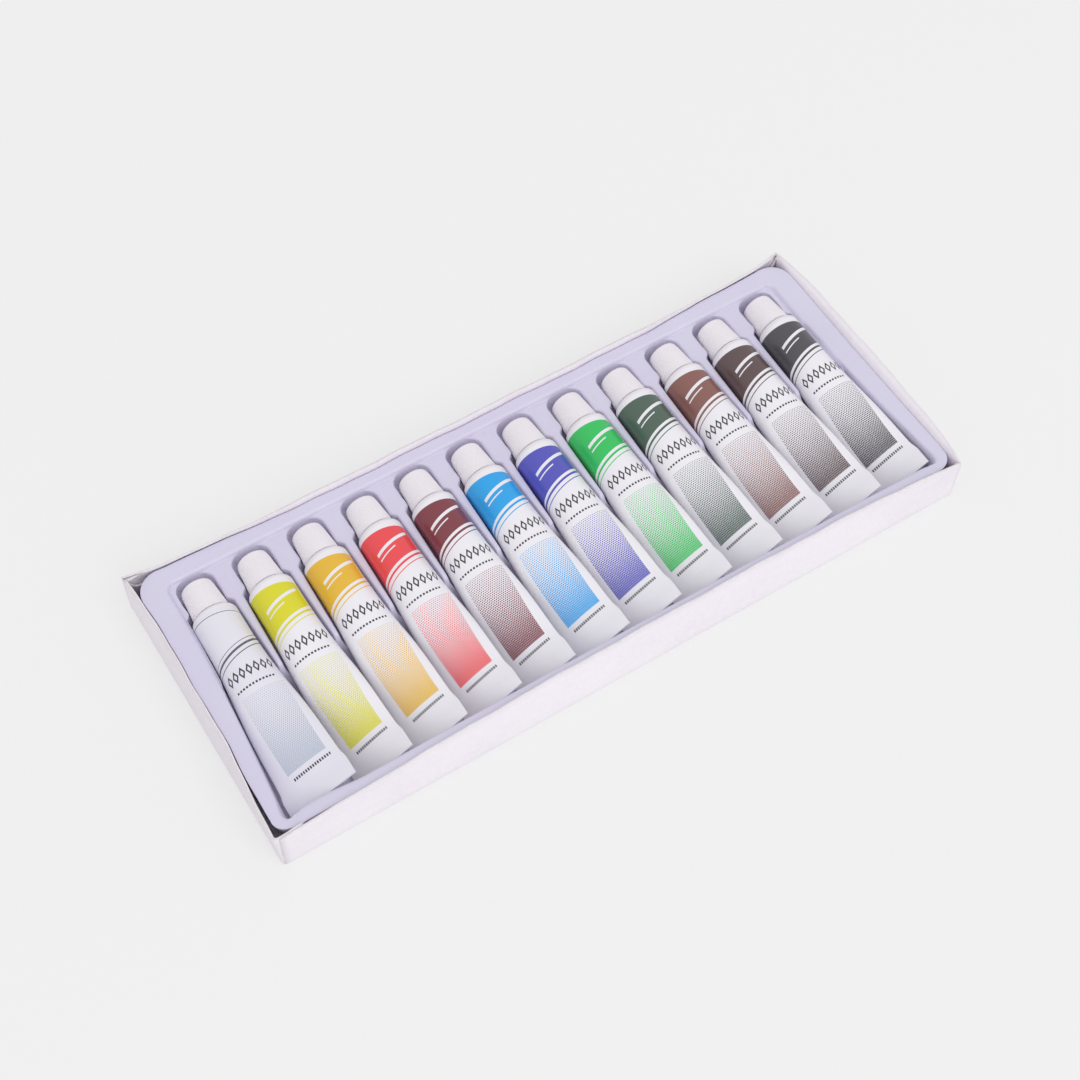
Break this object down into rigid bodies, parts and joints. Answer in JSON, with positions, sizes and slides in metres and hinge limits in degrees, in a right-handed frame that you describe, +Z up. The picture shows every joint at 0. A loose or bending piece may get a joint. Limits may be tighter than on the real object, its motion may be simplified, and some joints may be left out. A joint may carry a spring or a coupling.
{
  "type": "boxed set of paint tubes",
  "caption": "Shallow open card tray with a formed plastic insert that holds a row of small screw-capped paint tubes side by side.",
  "frame": {"origin": "centre of the tray's bottom face", "axes": "+X along the row of tubes, +Y towards the caps, +Z up"},
  "size_m": [0.2202, 0.091, 0.0185],
  "materials": {
    "card": "matt, pale pinkish white",
    "insert_sheet": "satin lilac sheet",
    "head_moulding": "matt white",
    "cap_moulding": "satin white, fine ribs",
    "sleeve_white": "satin white laminate, printed in the paint's colour",
    "paint_white": "matt paste",
    "sleeve_lemon_yellow": "satin white laminate, printed in the paint's colour",
    "paint_lemon_yellow": "matt paste",
    "sleeve_amber_yellow": "satin white laminate, printed in the paint's colour",
    "paint_amber_yellow": "matt paste",
    "sleeve_scarlet": "satin white laminate, printed in the paint's colour",
    "paint_scarlet": "matt paste",
    "sleeve_crimson": "satin white laminate, printed in the paint's colour",
    "paint_crimson": "matt paste",
    "sleeve_cerulean": "satin white laminate, printed in the paint's colour",
    "paint_cerulean": "matt paste",
    "sleeve_violet_blue": "satin white laminate, printed in the paint's colour",
    "paint_violet_blue": "matt paste",
    "sleeve_bright_green": "satin white laminate, printed in the paint's colour",
    "paint_bright_green": "matt paste",
    "sleeve_dark_green": "satin white laminate, printed in the paint's colour",
    "paint_dark_green": "matt paste",
    "sleeve_sienna": "satin white laminate, printed in the paint's colour",
    "paint_sienna": "matt paste",
    "sleeve_umber": "satin white laminate, printed in the paint's colour",
    "paint_umber": "matt paste",
    "sleeve_black": "satin white laminate, printed in the paint's colour",
    "paint_black": "matt paste"
  },
  "bodies": {
    "tray": {"card_tray": "card"},
    "insert": {"insert_tray": "insert_sheet"},
    "tube_white": {"white_sleeve": "sleeve_white", "white_head": "head_moulding", "white_paint": "paint_white"},
    "cap_white": {"white_cap": "cap_moulding"},
    "tube_lemon_yellow": {"lemon_yellow_sleeve": "sleeve_lemon_yellow", "lemon_yellow_head": "head_moulding", "lemon_yellow_paint": "paint_lemon_yellow"},
    "cap_lemon_yellow": {"lemon_yellow_cap": "cap_moulding"},
    "tube_amber_yellow": {"amber_yellow_sleeve": "sleeve_amber_yellow", "amber_yellow_head": "head_moulding", "amber_yellow_paint": "paint_amber_yellow"},
    "cap_amber_yellow": {"amber_yellow_cap": "cap_moulding"},
    "tube_scarlet": {"scarlet_sleeve": "sleeve_scarlet", "scarlet_head": "head_moulding", "scarlet_paint": "paint_scarlet"},
    "cap_scarlet": {"scarlet_cap": "cap_moulding"},
    "tube_crimson": {"crimson_sleeve": "sleeve_crimson", "crimson_head": "head_moulding", "crimson_paint": "paint_crimson"},
    "cap_crimson": {"crimson_cap": "cap_moulding"},
    "tube_cerulean": {"cerulean_sleeve": "sleeve_cerulean", "cerulean_head": "head_moulding", "cerulean_paint": "paint_cerulean"},
    "cap_cerulean": {"cerulean_cap": "cap_moulding"},
    "tube_violet_blue": {"violet_blue_sleeve": "sleeve_violet_blue", "violet_blue_head": "head_moulding", "violet_blue_paint": "paint_violet_blue"},
    "cap_violet_blue": {"violet_blue_cap": "cap_moulding"},
    "tube_bright_green": {"bright_green_sleeve": "sleeve_bright_green", "bright_green_head": "head_moulding", "bright_green_paint": "paint_bright_green"},
    "cap_bright_green": {"bright_green_cap": "cap_moulding"},
    "tube_dark_green": {"dark_green_sleeve": "sleeve_dark_green", "dark_green_head": "head_moulding", "dark_green_paint": "paint_dark_green"},
    "cap_dark_green": {"dark_green_cap": "cap_moulding"},
    "tube_sienna": {"sienna_sleeve": "sleeve_sienna", "sienna_head": "head_moulding", "sienna_paint": "paint_sienna"},
    "cap_sienna": {"sienna_cap": "cap_moulding"},
    "tube_umber": {"umber_sleeve": "sleeve_umber", "umber_head": "head_moulding", "umber_paint": "paint_umber"},
    "cap_umber": {"umber_cap": "cap_moulding"},
    "tube_black": {"black_sleeve": "sleeve_black", "black_head": "head_moulding", "black_paint": "paint_black"},
    "cap_black": {"black_cap": "cap_moulding"}
  },
  "joints": [
    {"name": "insert_lift", "type": "slide", "parent": "tray", "child": "insert", "axis": [0, 0, 1], "range_m": [0, 0.05]},
    {"name": "lift_white", "type": "slide", "parent": "insert", "child": "tube_white", "axis": [0, 0, 1], "range_m": [0, 0.045]},
    {"name": "unscrew_white", "type": "hinge", "parent": "tube_white", "child": "cap_white", "pos_m": [-0.09364, 0.0244, 0.0118], "axis": [0, 1, 0], "range_deg": [0, 540]},
    {"name": "lift_lemon_yellow", "type": "slide", "parent": "insert", "child": "tube_lemon_yellow", "axis": [0, 0, 1], "range_m": [0, 0.045]},
    {"name": "unscrew_lemon_yellow", "type": "hinge", "parent": "tube_lemon_yellow", "child": "cap_lemon_yellow", "pos_m": [-0.07647, 0.0244, 0.0118], "axis": [0, 1, 0], "range_deg": [0, 540]},
    {"name": "lift_amber_yellow", "type": "slide", "parent": "insert", "child": "tube_amber_yellow", "axis": [0, 0, 1], "range_m": [0, 0.045]},
    {"name": "unscrew_amber_yellow", "type": "hinge", "parent": "tube_amber_yellow", "child": "cap_amber_yellow", "pos_m": [-0.0593, 0.0244, 0.0118], "axis": [0, 1, 0], "range_deg": [0, 540]},
    {"name": "lift_scarlet", "type": "slide", "parent": "insert", "child": "tube_scarlet", "axis": [0, 0, 1], "range_m": [0, 0.045]},
    {"name": "unscrew_scarlet", "type": "hinge", "parent": "tube_scarlet", "child": "cap_scarlet", "pos_m": [-0.04213, 0.0244, 0.0118], "axis": [0, 1, 0], "range_deg": [0, 540]},
    {"name": "lift_crimson", "type": "slide", "parent": "insert", "child": "tube_crimson", "axis": [0, 0, 1], "range_m": [0, 0.045]},
    {"name": "unscrew_crimson", "type": "hinge", "parent": "tube_crimson", "child": "cap_crimson", "pos_m": [-0.02496, 0.0244, 0.0118], "axis": [0, 1, 0], "range_deg": [0, 540]},
    {"name": "lift_cerulean", "type": "slide", "parent": "insert", "child": "tube_cerulean", "axis": [0, 0, 1], "range_m": [0, 0.045]},
    {"name": "unscrew_cerulean", "type": "hinge", "parent": "tube_cerulean", "child": "cap_cerulean", "pos_m": [-0.00779, 0.0244, 0.0118], "axis": [0, 1, 0], "range_deg": [0, 540]},
    {"name": "lift_violet_blue", "type": "slide", "parent": "insert", "child": "tube_violet_blue", "axis": [0, 0, 1], "range_m": [0, 0.045]},
    {"name": "unscrew_violet_blue", "type": "hinge", "parent": "tube_violet_blue", "child": "cap_violet_blue", "pos_m": [0.00939, 0.0244, 0.0118], "axis": [0, 1, 0], "range_deg": [0, 540]},
    {"name": "lift_bright_green", "type": "slide", "parent": "insert", "child": "tube_bright_green", "axis": [0, 0, 1], "range_m": [0, 0.045]},
    {"name": "unscrew_bright_green", "type": "hinge", "parent": "tube_bright_green", "child": "cap_bright_green", "pos_m": [0.02656, 0.0244, 0.0118], "axis": [0, 1, 0], "range_deg": [0, 540]},
    {"name": "lift_dark_green", "type": "slide", "parent": "insert", "child": "tube_dark_green", "axis": [0, 0, 1], "range_m": [0, 0.045]},
    {"name": "unscrew_dark_green", "type": "hinge", "parent": "tube_dark_green", "child": "cap_dark_green", "pos_m": [0.04373, 0.0244, 0.0118], "axis": [0, 1, 0], "range_deg": [0, 540]},
    {"name": "lift_sienna", "type": "slide", "parent": "insert", "child": "tube_sienna", "axis": [0, 0, 1], "range_m": [0, 0.045]},
    {"name": "unscrew_sienna", "type": "hinge", "parent": "tube_sienna", "child": "cap_sienna", "pos_m": [0.0609, 0.0244, 0.0118], "axis": [0, 1, 0], "range_deg": [0, 540]},
    {"name": "lift_umber", "type": "slide", "parent": "insert", "child": "tube_umber", "axis": [0, 0, 1], "range_m": [0, 0.045]},
    {"name": "unscrew_umber", "type": "hinge", "parent": "tube_umber", "child": "cap_umber", "pos_m": [0.07807, 0.0244, 0.0118], "axis": [0, 1, 0], "range_deg": [0, 540]},
    {"name": "lift_black", "type": "slide", "parent": "insert", "child": "tube_black", "axis": [0, 0, 1], "range_m": [0, 0.045]},
    {"name": "unscrew_black", "type": "hinge", "parent": "tube_black", "child": "cap_black", "pos_m": [0.09524, 0.0244, 0.0118], "axis": [0, 1, 0], "range_deg": [0, 540]}
  ]
}
